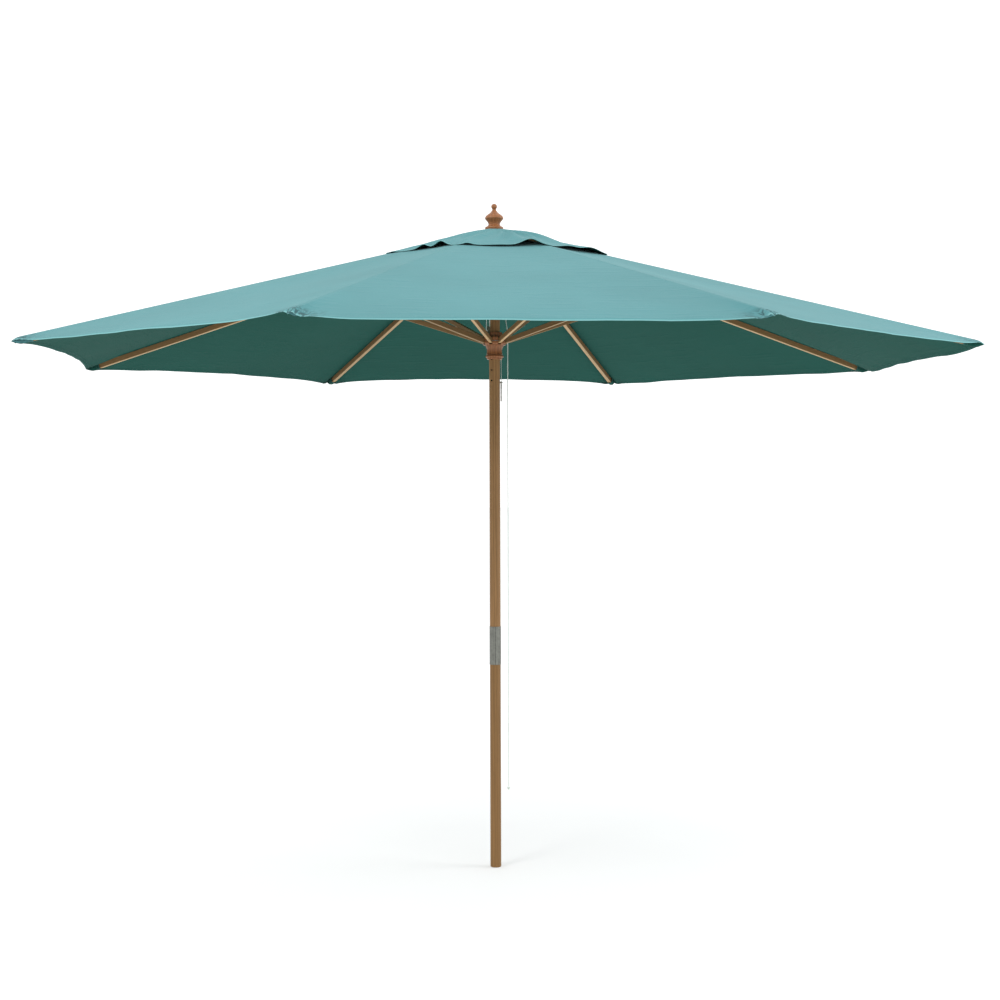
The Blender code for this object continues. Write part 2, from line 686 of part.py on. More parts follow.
def vent_canopy(look, parent):
    """The small eight-sided cap over the canopy's opening, clamped under the finial."""
    top = UPPER_POLE_TOP_Z + GAP
    outline = [(VENT_HOLE_R, top), (VENT_FLAT_R, top), (VENT_R, ridge_z(VENT_R) + CLOTH + VENT_LIFT)]
    section = [(r, z + CLOTH) for r, z in outline] + outline[::-1]
    bm = bmesh.new()
    rims = []
    for i in range(RIB_COUNT):
        azimuth = FIRST_RIB_AZIMUTH + i * RIB_STEP
        rims.append([bm.verts.new(at(azimuth, r, z)) for r, z in section])
    for a, b in zip(rims, rims[1:] + rims[:1]):
        for i in range(len(section)):
            j = (i + 1) % len(section)
            bm.faces.new((a[i], a[j], b[j], b[i]))
    add_object("vent_canopy", mesh_from(bm, "vent_canopy"), look, parent=parent)


# Cords


def lift_cord_points():
    """From the hub down round the runner's pulley and up to the wheel in the pole."""
    wheel_z = RUNNER_PIVOT_Z + RUNNER_PULLEY_RISE
    turn_r = RUNNER_GROOVE_R + CORD_R + 0.00025
    hub_turn_r = HUB_GROOVE_R + CORD_R + GAP
    down = [(ANCHOR_R, ANCHOR_END_Z), (ANCHOR_R, 2.310), (0.0415, 2.220), (0.0435, 2.120)]
    down.append((RUNNER_PULLEY_R + turn_r, wheel_z + 0.020))
    bend = arc((RUNNER_PULLEY_R, wheel_z), turn_r, 0, -180, 10)
    up = [(RUNNER_PULLEY_R - turn_r - 0.0002, wheel_z + 0.025), (0.0250, 2.140), (0.0230, 2.225)]
    up += [(0.0195, 2.262), (hub_turn_r + 0.0004, 2.298), (hub_turn_r, HUB_PULLEY_Z - 0.0004)]
    route = [at(PULLEY_AZIMUTH, r, z) for r, z in down + bend + up]
    return curve_through(route, 2)


def pull_cord_points():
    """From the wheel in the pole, over it, out to the runner's rim and straight down."""
    turn_r = HUB_GROOVE_R + CORD_R + GAP
    over = [at(PULLEY_AZIMUTH, x, z) for x, z in arc((0, HUB_PULLEY_Z), turn_r, 0, 180, 12)]
    opposite = PULLEY_AZIMUTH + 180
    leaving = [at(opposite, 0.0184, 2.280), at(opposite, 0.0228, 2.247)]
    rim = at(PULL_CORD_AZIMUTH, PULL_CORD_R, 0)
    slanting = [leaving[-1].lerp(rim + Vector((0, 0, 1.985)), share) for share in (0.33, 0.66, 0.94)]
    hanging = [rim + Vector((0, 0, z)) for z in (1.945, 1.900, 1.700, 1.200, 0.700, PULL_CORD_END_Z)]
    return curve_through([*over, *leaving, *slanting, *hanging], 2)


def knot(look, parent):
    top = PULL_CORD_END_Z - GAP
    outline = arc((0, top - 0.007), 0.007, 90, -90, 8)
    profile = [(x * 0.8, z) for x, z in outline]
    place = Matrix.Translation(at(PULL_CORD_AZIMUTH, PULL_CORD_R, 0))
    turned("pull_cord_knot", profile, look, place, parent, SMALL_ROUND)


def main():
    clear_scene()
    pole_wood = material("pole_wood", (0.32, 0.21, 0.12), 0.5)
    lower_wood = material("lower_pole_wood", (0.36, 0.26, 0.15), 0.5)
    frame_wood = material("frame_wood", (0.40, 0.28, 0.16), 0.5)
    turned_wood = material("turned_wood", (0.36, 0.18, 0.09), 0.45)
    steel = material("steel", (0.55, 0.55, 0.53), 0.3, 1.0)
    brass = material("pulley_brass", (0.35, 0.30, 0.18), 0.35, 1.0)
    cloth = material("canopy_cloth", (0.12, 0.28, 0.30), 0.85)
    cord_look = material("cord", (0.55, 0.68, 0.60), 0.8)

    foot = lower_pole(lower_wood)
    ferrule(steel)
    pole = upper_pole(pole_wood)
    pole.parent = foot
    finial(turned_wood, steel, pole)
    hub(turned_wood, steel, pole)
    hub_pulley(brass, pole)
    vent_canopy(cloth, pole)
    cord("pull_cord", pull_cord_points(), CORD_R, cord_look, pole)
    knot(cord_look, pole)

    slider = add_empty("runner_slide", Matrix.Translation((0, 0, RUNNER_PIVOT_Z)), pole)
    runner(turned_wood, steel, slider)
    runner_pulley(steel, brass, slider)
    lock_pin(steel, cord_look, slider)
    cord("lift_cord", lift_cord_points(), CORD_R, cord_look, slider)

    rib, strut, hinge = rib_mesh(frame_wood), strut_mesh(frame_wood), hinge_mesh(steel)
    section = canopy_section_mesh(cloth)
    for i in range(RIB_COUNT):
        azimuth = FIRST_RIB_AZIMUTH + i * RIB_STEP
        number = i + 1
        fold = add_empty(f"rib_fold_{number}", rib_frame(azimuth), pole)
        add_object(f"rib_{number}", rib, frame_wood, rib_frame(azimuth), fold)
        add_object(f"strut_hinge_{number}", hinge, steel, rib_frame(azimuth), fold)
        add_object(f"canopy_section_{number}", section, cloth, rib_frame(azimuth), fold)
        add_object(f"strut_{number}", strut, frame_wood, strut_frame(azimuth), fold)
    bpy.context.view_layer.update()


main()
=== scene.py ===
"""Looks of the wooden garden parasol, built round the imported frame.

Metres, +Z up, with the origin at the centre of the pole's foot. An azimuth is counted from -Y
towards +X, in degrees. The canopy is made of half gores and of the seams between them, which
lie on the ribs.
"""

import math

import bmesh
import bpy
from mathutils import Euler, Matrix, Vector, noise


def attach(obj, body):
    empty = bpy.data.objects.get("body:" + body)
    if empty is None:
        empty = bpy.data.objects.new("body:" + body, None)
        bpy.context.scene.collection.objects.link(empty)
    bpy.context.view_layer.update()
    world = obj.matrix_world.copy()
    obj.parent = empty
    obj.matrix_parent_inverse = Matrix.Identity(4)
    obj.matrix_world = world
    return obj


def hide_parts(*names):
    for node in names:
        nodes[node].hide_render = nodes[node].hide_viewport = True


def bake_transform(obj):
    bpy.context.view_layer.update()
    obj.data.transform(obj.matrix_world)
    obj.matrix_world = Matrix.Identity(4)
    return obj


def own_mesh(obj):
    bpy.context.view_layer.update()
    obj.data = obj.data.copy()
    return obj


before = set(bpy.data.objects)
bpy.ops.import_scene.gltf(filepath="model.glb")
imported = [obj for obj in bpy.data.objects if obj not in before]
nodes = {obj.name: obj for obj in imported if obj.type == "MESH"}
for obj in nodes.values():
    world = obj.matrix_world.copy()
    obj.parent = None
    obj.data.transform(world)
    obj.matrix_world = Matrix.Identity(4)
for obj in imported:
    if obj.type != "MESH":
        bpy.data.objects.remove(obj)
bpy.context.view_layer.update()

# Frame of the parasol, as in the CAD model
RIB_COUNT = 8
RIB_STEP = 360 / RIB_COUNT
HALF_STEP = math.radians(RIB_STEP / 2)
HUB_PIVOT_Z = 2.349
PIVOT_R = 0.042
RIB_SLOPE = math.radians(14.95)
RIB_HEIGHT = 0.021
STRUT_S = 0.640
STRUT_DROP = 0.031
STRUT_SLOPE = RIB_SLOPE + math.atan2(STRUT_DROP, STRUT_S)
RUNNER_PIVOT_Z = HUB_PIVOT_Z - 2 * math.hypot(STRUT_S, STRUT_DROP) * math.sin(STRUT_SLOPE)
POLE_R = 0.02025
GAP = 0.0003

# Canopy
CANOPY_R = 1.750
CANOPY_OPENING = 0.240
CLOTH = 0.0012
CLOTH_LIFT = 0.0013
SCALLOP_DEPTH = 0.045
CORNER_DROP = 0.009
CORNER_START = 1.722
SEAM_HALF = 0.012
SEAM_RISE = 0.0007
SAG = 0.010
# By gore, from the one at -Y round by +X: how low its hem hangs, and the cloth beside its corners
HEM_DROPS = (0.026, 0.012, 0.026, 0.014, -0.005, 0.002, 0.002, 0.013)
CORNER_FALLS = (0.022, 0.0, 0.014, 0.014, 0.014, 0.014, 0.014, 0.0)
RIB_HOLD = 0.972
CORNER_FOLD = 0.030
CORNER_FROM = 0.84
CORNER_SPREAD = 0.16
HEM = 0.016
HEM_DROOP = 0.0035
FOLDED_EDGE = 0.0012
SEAM_RIDGE = (0.0048, 0.0070)
SOFT_WAVES = 0.0022
HEM_WAVES = 0.0030
GORE_KEEP = 0.055

# Vent cap
VENT_R = 0.435
VENT_INNER_R = 0.042
VENT_TOP_Z = 2.3722
VENT_FLAT_R = 0.036
VENT_LIFT = 0.0008
VENT_SEAM_HALF = 0.0158
VENT_HEM = 0.011
VENT_CLOTH = 0.0009
VENT_SCALLOP = 0.012
VENT_WAVES = 0.0030
VENT_KEEP = 0.24
CROWN_R = 0.070
CAP_TWIST = 26.0

# Pockets for the ribs' ends
POCKET_CLOTH = 0.0011
# Ribs whose pockets' sides take the top cloth; other pockets and all pocket bottoms take the
# underside's painted-shade copy
POCKETS_PAINTED_LIT = (1, 7, 8)
POCKET_STATIONS = (  # along the rib, half width, height of its bottom
    (1.6990, 0.0122, -0.0138),
    (1.7010, 0.0112, -0.0128),
    (1.7090, 0.0102, -0.0121),
    (1.7200, 0.0098, -0.0118),
    (1.7320, 0.0098, -0.0115),
    (1.7410, 0.0094, -0.0100),
    (1.7500, 0.0080, -0.0056),
    (1.7580, 0.0056, -0.0012),
    (1.7640, 0.0028, 0.0018),
)

# Weave, stitches and the puckers where the cloth is gathered at a rib's end
WEAVE_PITCH = 0.0011
SEAM_STITCH = 0.0050
HEM_STITCH = HEM - 0.002
STITCH_HALF = 0.0006
STITCH_PITCH = 0.0042
STITCH_SHARE = 0.68
PUCKERS_ALONG = (1.535, 1.595)
PUCKERS_ACROSS = (0.03, 0.10)

# Cords and pulleys
CORD_R = 0.00175
CORD_GROOVES = 0.14
CORD_LAY = 0.014
BRAID_PITCH = 0.006
BRAID_STRANDS = 4
TETHER_R = 0.0010
TETHER_LAY = 0.008
PULLEY_AZIMUTH = -45.0
RUNNER_PULLEY_R = 0.036
RUNNER_PULLEY_RISE = 0.045
RUNNER_GROOVE_R = 0.0070
HUB_PULLEY_Z = 2.3105
HUB_GROOVE_R = 0.0125
ANCHOR_R = 0.040
ANCHOR_END_Z = 2.340
PULL_CORD_AZIMUTH = 90.0
PULL_CORD_R = 0.049
PULL_CORD_END_Z = 0.300
LOCK_PIN_AZIMUTH = 135.0
LOCK_PIN_TOP_Z = 1.812
TETHER_OFFSET = 0.038
TETHER_TOP_Z = 1.8969
KNOT_SCALE = 0.00155
KNOT_DROP = 0.0068

# Colours
CLOTH_TOP = (0.082, 0.240, 0.256)
# The underside's colour is the same cloth darkened: painted shade
CLOTH_UNDER_PAINTED_SHADE = (0.011, 0.074, 0.058)
THREAD = (0.16, 0.34, 0.34)
CORD_COLOUR = (0.68, 0.76, 0.70)
STEEL = (0.42, 0.42, 0.40)
DRAWN_STEEL = (0.165, 0.168, 0.150)
PULLEY_METAL = (0.20, 0.22, 0.17)
UPPER_POLE_WOOD = (0.248, 0.132, 0.050)
LOWER_POLE_WOOD = (0.190, 0.100, 0.034)
TURNED_WOOD = (0.255, 0.100, 0.038)
FRAME_WOOD = (0.400, 0.265, 0.128)

# Camera and light
CAMERA_PLACE = (-0.407, -6.085, 1.443)
CAMERA_LENS = 58.94
CAMERA_HEADING = 3.83 + 0.175
CAMERA_PITCH = -0.698
CAMERA_ROLL = -0.15
KEY_PLACE = (-4.5, -4.5, 5.5)
KEY_TARGET = (0, 0, 1.6)
KEY_SIZE = 3.0
KEY_POWER = 175
KEY_COLOUR = (1.0, 0.98, 0.95)
FILL_PLACE = (7.0, -1.0, 3.8)
FILL_TARGET = (0.9, 0, 1.9)
FILL_SIZE = 4.0
FILL_POWER = 230
WORLD_STRENGTH = 1.3
FLOOR_GLOW = 0.30


# Places


def outward(azimuth):
    angle = math.radians(azimuth)
    return Vector((math.sin(angle), -math.cos(angle), 0))


def at(azimuth, radius, z):
    return outward(azimuth) * radius + Vector((0, 0, z))


def rib_azimuth(number):
    return RIB_STEP * (number - 0.5)


def rib_frame(azimuth):
    """Origin on the hub pivot, local X along the rib towards its tip, local Z on its top side."""
    turn = Matrix.Rotation(math.radians(azimuth - 90), 4, "Z") @ Matrix.Rotation(RIB_SLOPE, 4, "Y")
    return Matrix.Translation(at(azimuth, PIVOT_R, HUB_PIVOT_Z)) @ turn


def strut_frame(azimuth):
    """Origin on the pivot under the rib, local X along the strut towards the runner."""
    pivot = rib_frame(azimuth) @ Vector((STRUT_S, 0, -STRUT_DROP))
    heading = Matrix.Rotation(math.radians(azimuth + 90), 4, "Z")
    turn = heading @ Matrix.Rotation(STRUT_SLOPE, 4, "Y")
    return Matrix.Translation(pivot) @ turn


def arc(centre, radius, start, end, steps):
    """Points round a centre in a plane, angles in degrees."""
    angles = [math.radians(start + (end - start) * i / steps) for i in range(steps + 1)]
    return [(centre[0] + radius * math.cos(a), centre[1] + radius * math.sin(a)) for a in angles]


def curve_through(points, steps):
    """A smooth curve through the points, with that many steps between each two."""
    padded = [2 * points[0] - points[1], *points, 2 * points[-1] - points[-2]]
    found = []
    for a, b, c, d in zip(padded, padded[1:], padded[2:], padded[3:]):
        for i in range(steps):
            t = i / steps
            square = 2 * a - 5 * b + 4 * c - d
            cube = 3 * b - a - 3 * c + d
            found.append(0.5 * (2 * b + (c - a) * t + square * t**2 + cube * t**3))
    return [*found, points[-1]]


def swell(azimuth, centre, width):
    """1 at the centre's azimuth, falling off over its width on both sides."""
    apart = (azimuth - centre + 180) % 360 - 180
    return math.exp(-((apart / width) ** 2))


def smoothstep(low, high, value):
    share = min(max((value - low) / (high - low), 0), 1)
    return share * share * (3 - 2 * share)


# Materials


def new_material(name, **sockets):
    """A Principled material. A _ in a socket's name stands for a space."""
    made = bpy.data.materials.new(name)
    made.use_nodes = True
    shader = made.node_tree.nodes["Principled BSDF"]
    for socket, value in sockets.items():
        shader.inputs[socket.replace("_", " ")].default_value = value
    return made


def node(made, kind, inputs=None, **settings):
    """Adds a node. An input is a number, a tuple, or an output socket of another node."""
    added = made.node_tree.nodes.new("ShaderNode" + kind)
    for name, value in settings.items():
        setattr(added, name, value)
    for name, value in (inputs or {}).items():
        if isinstance(value, bpy.types.NodeSocket):
            made.node_tree.links.new(value, added.inputs[name])
        else:
            added.inputs[name].default_value = value
    return added


def maths(made, operation, *values):
    return node(made, "Math", dict(enumerate(values)), operation=operation).outputs[0]


def vector_maths(made, operation, *values):
    return node(made, "VectorMath", dict(enumerate(values)), operation=operation)


def weighted(made, *pairs):
    """The sum of each value times its weight."""
    total = None
    for value, weight in pairs:
        part = maths(made, "MULTIPLY", value, weight)
        total = part if total is None else maths(made, "ADD", total, part)
    return total


def remap(made, value, low, high, to_low=0.0, to_high=1.0):
    """Value's run from low to high as a run from to_low to to_high, held at both ends."""
    inputs = {"Value": value, 1: low, 2: high, 3: to_low, 4: to_high}
    return node(made, "MapRange", inputs).outputs[0]


def mapped(made, vector, scale, **more):
    """Coordinates stretched by the scale. Location and Rotation may be given too."""
    return node(made, "Mapping", {"Vector": vector, "Scale": scale, **more}).outputs[0]


def speckle(made, vector, scale=1.0, detail=2.0, **more):
    """A noise texture's value. Roughness and Distortion may be given too."""
    inputs = {"Vector": vector, "Scale": scale, "Detail": detail, **more}
    return node(made, "TexNoise", inputs).outputs["Fac"]


def uv_parts(made, name):
    """The UV map and its two coordinates."""
    uv = node(made, "UVMap", uv_map=name).outputs[0]
    parts = node(made, "SeparateXYZ", {0: uv}).outputs
    return uv, parts[0], parts[1]


def object_place(made):
    return node(made, "TexCoord").outputs["Object"]


def ramp(made, share, stops):
    """Colours by share, from (position, colour) stops."""
    added = node(made, "ValToRGB", {"Fac": share})
    elements = added.color_ramp.elements
    while len(elements) < len(stops):
        elements.new(0.5)
    for element, (position, colour) in zip(elements, stops):
        element.position = position
        element.color = (*colour, 1)
    return added.outputs["Color"]


def mix(made, share, a, b):
    """Colour a turning into colour b by share."""
    added = node(made, "Mix", {0: share}, data_type="RGBA")
    for socket, value in ((6, a), (7, b)):
        if isinstance(value, bpy.types.NodeSocket):
            made.node_tree.links.new(value, added.inputs[socket])
        else:
            added.inputs[socket].default_value = (*value, 1)
    return added.outputs[2]


def link_shader(made, socket, output):
    made.node_tree.links.new(output, made.node_tree.nodes["Principled BSDF"].inputs[socket])


def bump(made, height, distance, strength):
    inputs = {"Height": height, "Distance": distance, "Strength": strength}
    link_shader(made, "Normal", node(made, "Bump", inputs).outputs[0])


def shade(colour, factor):
    return tuple(c * factor for c in colour)


def wood_material(name, colour, matrix, roughness, contrast, coat=0.0, painted_side_shade=0.0, core=0.0):
    """Straight-grained wood, whose grain runs along local X of the matrix.

    Its side shade darkens the faces that look along its local Y: painted shade. core is the radius
    inside which the walls of an upright pole's holes are painted dark: painted shade."""
    made = new_material(name, Specular_IOR_Level=0.25, Coat_Weight=coat, Coat_Roughness=0.25)
    inverse = matrix.inverted()
    place = object_place(made)
    upright = {"Location": inverse.to_translation(), "Rotation": inverse.to_euler("XYZ")}
    local = mapped(made, place, (1, 1, 1), **upright)
    streaks = speckle(made, mapped(made, local, (1.6, 46, 46)), 3.2, 7, Roughness=0.62)
    rings_place = mapped(made, local, (0.35, 9, 9), Location=(0.4, 0.23, 0.11))
    wave = {
        "Vector": rings_place,
        "Scale": 3.4,
        "Distortion": 5.5,
        "Detail": 2.5,
        "Detail Scale": 1.3,
    }
    rings = node(made, "TexWave", wave, wave_type="RINGS", rings_direction="X").outputs["Fac"]
    pores = speckle(made, mapped(made, local, (14, 480, 480)), 1.5, 2)
    patches = speckle(made, local, 2.3, 2)
    grain = weighted(made, (streaks, 0.62), (rings, 0.24), (patches, 0.14))
    low, high = 1 - 0.48 * contrast, 1 + 0.40 * contrast
    stops = [
        (0.26, shade(colour, low * 0.86)),
        (0.44, shade(colour, (low + 1) / 2)),
        (0.56, colour),
        (0.74, shade(colour, high)),
    ]
    dark_pores = remap(made, pores, 0.60, 0.72, 0.0, 0.55)
    toned = mix(made, dark_pores, ramp(made, grain, stops), shade(colour, 0.42))
    worn = node(made, "NewGeometry").outputs["Pointiness"]
    toned = mix(made, remap(made, worn, 0.52, 0.60, 0.0, 0.35), toned, shade(colour, 1.35))
    # Painted shade: the walls of the pole's holes, inside the core radius, are darkened
    if core:
        off_axis = vector_maths(made, "MULTIPLY", place, (1, 1, 0)).outputs["Vector"]
        radius = vector_maths(made, "LENGTH", off_axis).outputs["Value"]
        inside = remap(made, radius, core - 0.0005, core, 1.0, 0.0)
        toned = mix(made, inside, toned, shade(colour, 0.10))
    # Painted shade: faces looking along local Y, the bars' sides, are darkened
    if painted_side_shade:
        facing = node(made, "NewGeometry").outputs["Normal"]
        across = tuple(matrix.col[1].xyz)
        sideways = vector_maths(made, "DOT_PRODUCT", facing, across).outputs["Value"]
        side_shade = maths(made, "MULTIPLY", maths(made, "MULTIPLY", sideways, sideways), painted_side_shade)
        toned = mix(made, side_shade, toned, (colour[0] * 0.40, colour[1] * 0.32, colour[2] * 0.24))
    link_shader(made, "Base Color", toned)
    rough = remap(made, grain, 0.3, 0.7, roughness + 0.10, roughness - 0.06)
    link_shader(made, "Roughness", rough)
    sunk = maths(made, "MULTIPLY", dark_pores, 0.5)
    bump(made, maths(made, "SUBTRACT", grain, sunk), 0.0004, 0.6)
    return made


def metal_material(name, colour, roughness, streaks):
    """Drawn or cast metal with dull patches. Streaks are the noise's scales along X, Y and Z."""
    made = new_material(name, Metallic=1.0)
    place = object_place(made)
    lines = speckle(made, mapped(made, place, streaks), 1.0, 5, Roughness=0.6)
    spots = speckle(made, place, 90, 3)
    tone = weighted(made, (lines, 0.75), (spots, 0.25))
    stops = [(0.34, shade(colour, 0.45)), (0.50, colour), (0.66, shade(colour, 1.45))]
    link_shader(made, "Base Color", ramp(made, tone, stops))
    rough = remap(made, tone, 0.3, 0.7, roughness + 0.12, roughness - 0.08)
    link_shader(made, "Roughness", rough)
    bump(made, tone, 0.0002, 0.5)
    return made


def stitched(made, line, run):
    """1 on the dashes of a stitched line. line is the distance from it, and run that along it."""
    on_line = maths(made, "LESS_THAN", line, STITCH_HALF)
    phase = maths(made, "FRACT", maths(made, "DIVIDE", run, STITCH_PITCH))
    dash = maths(made, "LESS_THAN", phase, STITCH_SHARE)
    return maths(made, "MULTIPLY", on_line, dash)


def distance_from(made, value, line):
    return maths(made, "ABSOLUTE", maths(made, "SUBTRACT", value, line))


def cloth_material(name, colour, thread, sheen, gloss):
    """Woven canvas with stitched seams and hems, fine creases, and puckers at the ribs' ends.

    UV map "cloth" holds metres across and along the gore, with the seam at 0 across. UV map "hem"
    holds metres along the hem and up from its edge."""
    sockets = {
        "Roughness": 0.88,
        "Specular IOR Level": gloss,
        "Sheen Weight": sheen,
        "Sheen Roughness": 0.4,
    }
    made = new_material(name, **sockets)
    cloth, across, along = uv_parts(made, "cloth")
    _, along_hem, up_hem = uv_parts(made, "hem")
    off_seam = maths(made, "ABSOLUTE", across)

    turns = 2 * math.pi / WEAVE_PITCH
    warp = maths(made, "SINE", maths(made, "MULTIPLY", across, turns))
    weft = maths(made, "SINE", maths(made, "MULTIPLY", along, turns))
    weave = maths(made, "MULTIPLY", warp, weft)
    slubs = speckle(made, mapped(made, cloth, (900, 60, 1)))
    patches = speckle(made, object_place(made), 1.7, 4, Roughness=0.55)
    tone = weighted(made, (patches, 0.8), (slubs, 0.2))
    stops = [(0.30, shade(colour, 0.92)), (0.50, colour), (0.70, shade(colour, 1.08))]
    between = maths(made, "MULTIPLY", maths(made, "ADD", weave, 1.0), 0.06)
    toned = mix(made, between, ramp(made, tone, stops), shade(colour, 0.55))

    seam_line = distance_from(made, off_seam, SEAM_STITCH)
    hem_line = distance_from(made, up_hem, HEM_STITCH)
    marks = [stitched(made, seam_line, along), stitched(made, hem_line, along_hem)]
    stitches = maths(made, "MAXIMUM", *marks)
    # Painted shade: the cloth is darkened along the stitch lines, where the stitches pull it in
    pulled = remap(made, maths(made, "MINIMUM", seam_line, hem_line), 0.0, 0.0022, 0.30, 0.0)
    toned = mix(made, pulled, toned, shade(colour, 0.55))
    toned = mix(made, stitches, toned, thread)
    # Painted highlight: the hem's folded edge is painted lighter
    toned = mix(made, remap(made, up_hem, 0.0, 0.006, 0.55, 0.0), toned, shade(thread, 1.5))

    near_end = remap(made, along, *PUCKERS_ALONG)
    near_rib = remap(made, off_seam, *PUCKERS_ACROSS, 1.0, 0.0)
    puckers_place = mapped(made, cloth, (75, 38, 1), Rotation=(0, 0, 0.6))
    puckers = remap(made, speckle(made, puckers_place, Distortion=0.8), 0.44, 0.58)
    folded = maths(made, "MULTIPLY", puckers, maths(made, "MULTIPLY", near_end, near_rib))
    # Painted shade: the puckers' folds near a rib's end are darkened
    toned = mix(made, maths(made, "MULTIPLY", folded, 0.8), toned, shade(colour, 0.22))
    link_shader(made, "Base Color", toned)

    creases = speckle(made, mapped(made, cloth, (5, 42, 1)), 1.0, 3, Distortion=0.6)
    creased = remap(made, creases, 0.54, 0.74, 0.0, 5.0)
    parts = [(weave, 0.12), (slubs, 0.25), (folded, -6.0)]
    parts += [(stitches, 1.2), (pulled, -2.0), (creased, 1.0)]
    bump(made, weighted(made, *parts), 0.00035, 0.7)
    return made


def cord_material(name, colour):
    """Braided cord. UV map "cord" holds turns round the cord and metres along it."""
    made = new_material(name, Roughness=0.78, Sheen_Weight=0.25)
    _, around, along = uv_parts(made, "cord")
    braids = maths(made, "MULTIPLY", along, 1 / BRAID_PITCH)
    strands = maths(made, "MULTIPLY", around, BRAID_STRANDS)
    crossing = []
    for sign in (1, -1):
        strand = maths(made, "ADD", maths(made, "MULTIPLY", strands, sign), braids)
        crossing.append(maths(made, "SINE", maths(made, "MULTIPLY", strand, 2 * math.pi)))
    lit = remap(made, maths(made, "MULTIPLY", *crossing), -1.0, 1.0)
    stops = [(0.0, shade(colour, 0.55)), (0.45, colour), (1.0, shade(colour, 1.12))]
    toned = ramp(made, lit, stops)
    soiled = remap(made, speckle(made, object_place(made), 24), 0.45, 0.75, 0.0, 0.35)
    link_shader(made, "Base Color", mix(made, soiled, toned, shade(colour, 0.6)))
    bump(made, lit, 0.0004, 0.8)
    return made


# Meshes


def add_object(name, data):
    made = bpy.data.objects.new(name, data)
    bpy.context.scene.collection.objects.link(made)
    return made


def finished(bm, name, looks, sharp=False):
    """The mesh, shaded smooth, with its materials. Sharp keeps its edges of 50 degrees and more."""
    bmesh.ops.recalc_face_normals(bm, faces=bm.faces)
    mesh = bpy.data.meshes.new(name)
    bm.to_mesh(mesh)
    bm.free()
    mesh.shade_smooth()
    if sharp:
        mesh.set_sharp_from_angle(angle=math.radians(50))
    for look in looks:
        mesh.materials.append(look)
    return mesh


def add_piece(name, mesh, body):
    made = add_object(name, mesh)
    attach(made, body)
    return made


def tube(name, points, radius, sides, look, lay=CORD_LAY):
    """A cord along the points, with rounded ends and its strands as shallow helical grooves.

    Lay is the length of a strand's turn."""
    steps = [0.0]
    for a, b in zip(points, points[1:]):
        steps.append(steps[-1] + (b - a).length)
    normal = (points[1] - points[0]).orthogonal().normalized()
    bm = bmesh.new()
    uv = bm.loops.layers.uv.new("cord")
    rings = []
    for i, point in enumerate(points):
        ahead = points[min(i + 1, len(points) - 1)] - points[max(i - 1, 0)]
        normal = (normal - ahead * normal.dot(ahead) / ahead.length_squared).normalized()
        side = ahead.normalized().cross(normal)
        ring = []
        for j in range(sides):
            angle = 2 * math.pi * j / sides
            lobe = abs(math.sin(1.5 * (angle - 2 * math.pi * steps[i] / lay)))
            reach = radius * (1 - CORD_GROOVES * (1 - lobe))
            out = normal * math.cos(angle) + side * math.sin(angle)
            ring.append(bm.verts.new(point + out * reach))
        rings.append(ring)
    for i, (a, b) in enumerate(zip(rings, rings[1:])):
        for j in range(sides):
            k = (j + 1) % sides
            face = bm.faces.new((a[j], a[k], b[k], b[j]))
            corners = ((j, i), (j + 1, i), (j + 1, i + 1), (j, i + 1))
            for loop, (turn, step) in zip(face.loops, corners):
                loop[uv].uv = (turn / sides, steps[step])
    for last, past in ((0, 1), (-1, -2)):
        outwards = (points[last] - points[past]).normalized()
        end = bm.verts.new(points[last] + outwards * radius * 0.5)
        for j in range(sides):
            bm.faces.new((rings[last][j], rings[last][(j + 1) % sides], end))
    return finished(bm, name, [look])


def respaced(points, spacing):
    """The same route with points at an even spacing."""
    found = [points[0]]
    since = 0.0
    for a, b in zip(points, points[1:]):
        length = (b - a).length
        place = spacing - since
        while place <= length:
            found.append(a.lerp(b, place / length))
            place += spacing
        since = length - (place - spacing)
    if (found[-1] - points[-1]).length < spacing * 0.4:
        found.pop()
    return [*found, points[-1]]


def polish(made, material):
    """Gives a CAD node its material, and shades its round sides smooth."""
    made.data.materials.clear()
    made.data.materials.append(material)
    custom = made.data.attributes.get("custom_normal")
    if custom is not None:
        made.data.attributes.remove(custom)
    made.data.shade_smooth()
    weld = made.modifiers.new("Weld", "WELD")
    weld.merge_threshold = 0.00001
    split = made.modifiers.new("Edges", "EDGE_SPLIT")
    split.split_angle = math.radians(30)


# Camera, light and floor


def add_camera():
    camera = add_object("camera", bpy.data.cameras.new("camera"))
    camera.data.sensor_width = 36
    camera.data.lens = CAMERA_LENS
    camera.data.clip_end = 200
    camera.location = CAMERA_PLACE
    angles = (math.radians(90 + CAMERA_PITCH), 0, -math.radians(CAMERA_HEADING))
    roll = Matrix.Rotation(math.radians(CAMERA_ROLL), 3, "Z")
    camera.rotation_euler = (Euler(angles).to_matrix() @ roll).to_euler()
    bpy.context.scene.camera = camera


def add_area_light(name, place, target, size, power, colour=(1, 1, 1)):
    light = add_object(name, bpy.data.lights.new(name, "AREA"))
    light.data.shape = "DISK"
    light.data.size = size
    light.data.energy = power
    light.data.color = colour
    light.location = place
    aim = Vector(target) - Vector(place)
    light.rotation_euler = aim.to_track_quat("-Z", "Y").to_euler()
    light.visible_camera = False


def add_world():
    world = bpy.data.worlds.new("studio")
    world.use_nodes = True
    bpy.context.scene.world = world
    place = node(world, "TexCoord").outputs["Generated"]
    height = node(world, "SeparateXYZ", {0: place}).outputs[2]
    share = remap(world, height, -1.0, 1.0)
    stops = [
        (0.0, (0.8, 0.8, 0.8)),
        (0.48, (1.0, 1.0, 1.0)),
        (0.56, (1.0, 1.0, 1.0)),
        (0.80, (0.96, 0.99, 1.0)),
    ]
    background = world.node_tree.nodes["Background"]
    world.node_tree.links.new(ramp(world, share, stops), background.inputs["Color"])
    background.inputs["Strength"].default_value = WORLD_STRENGTH


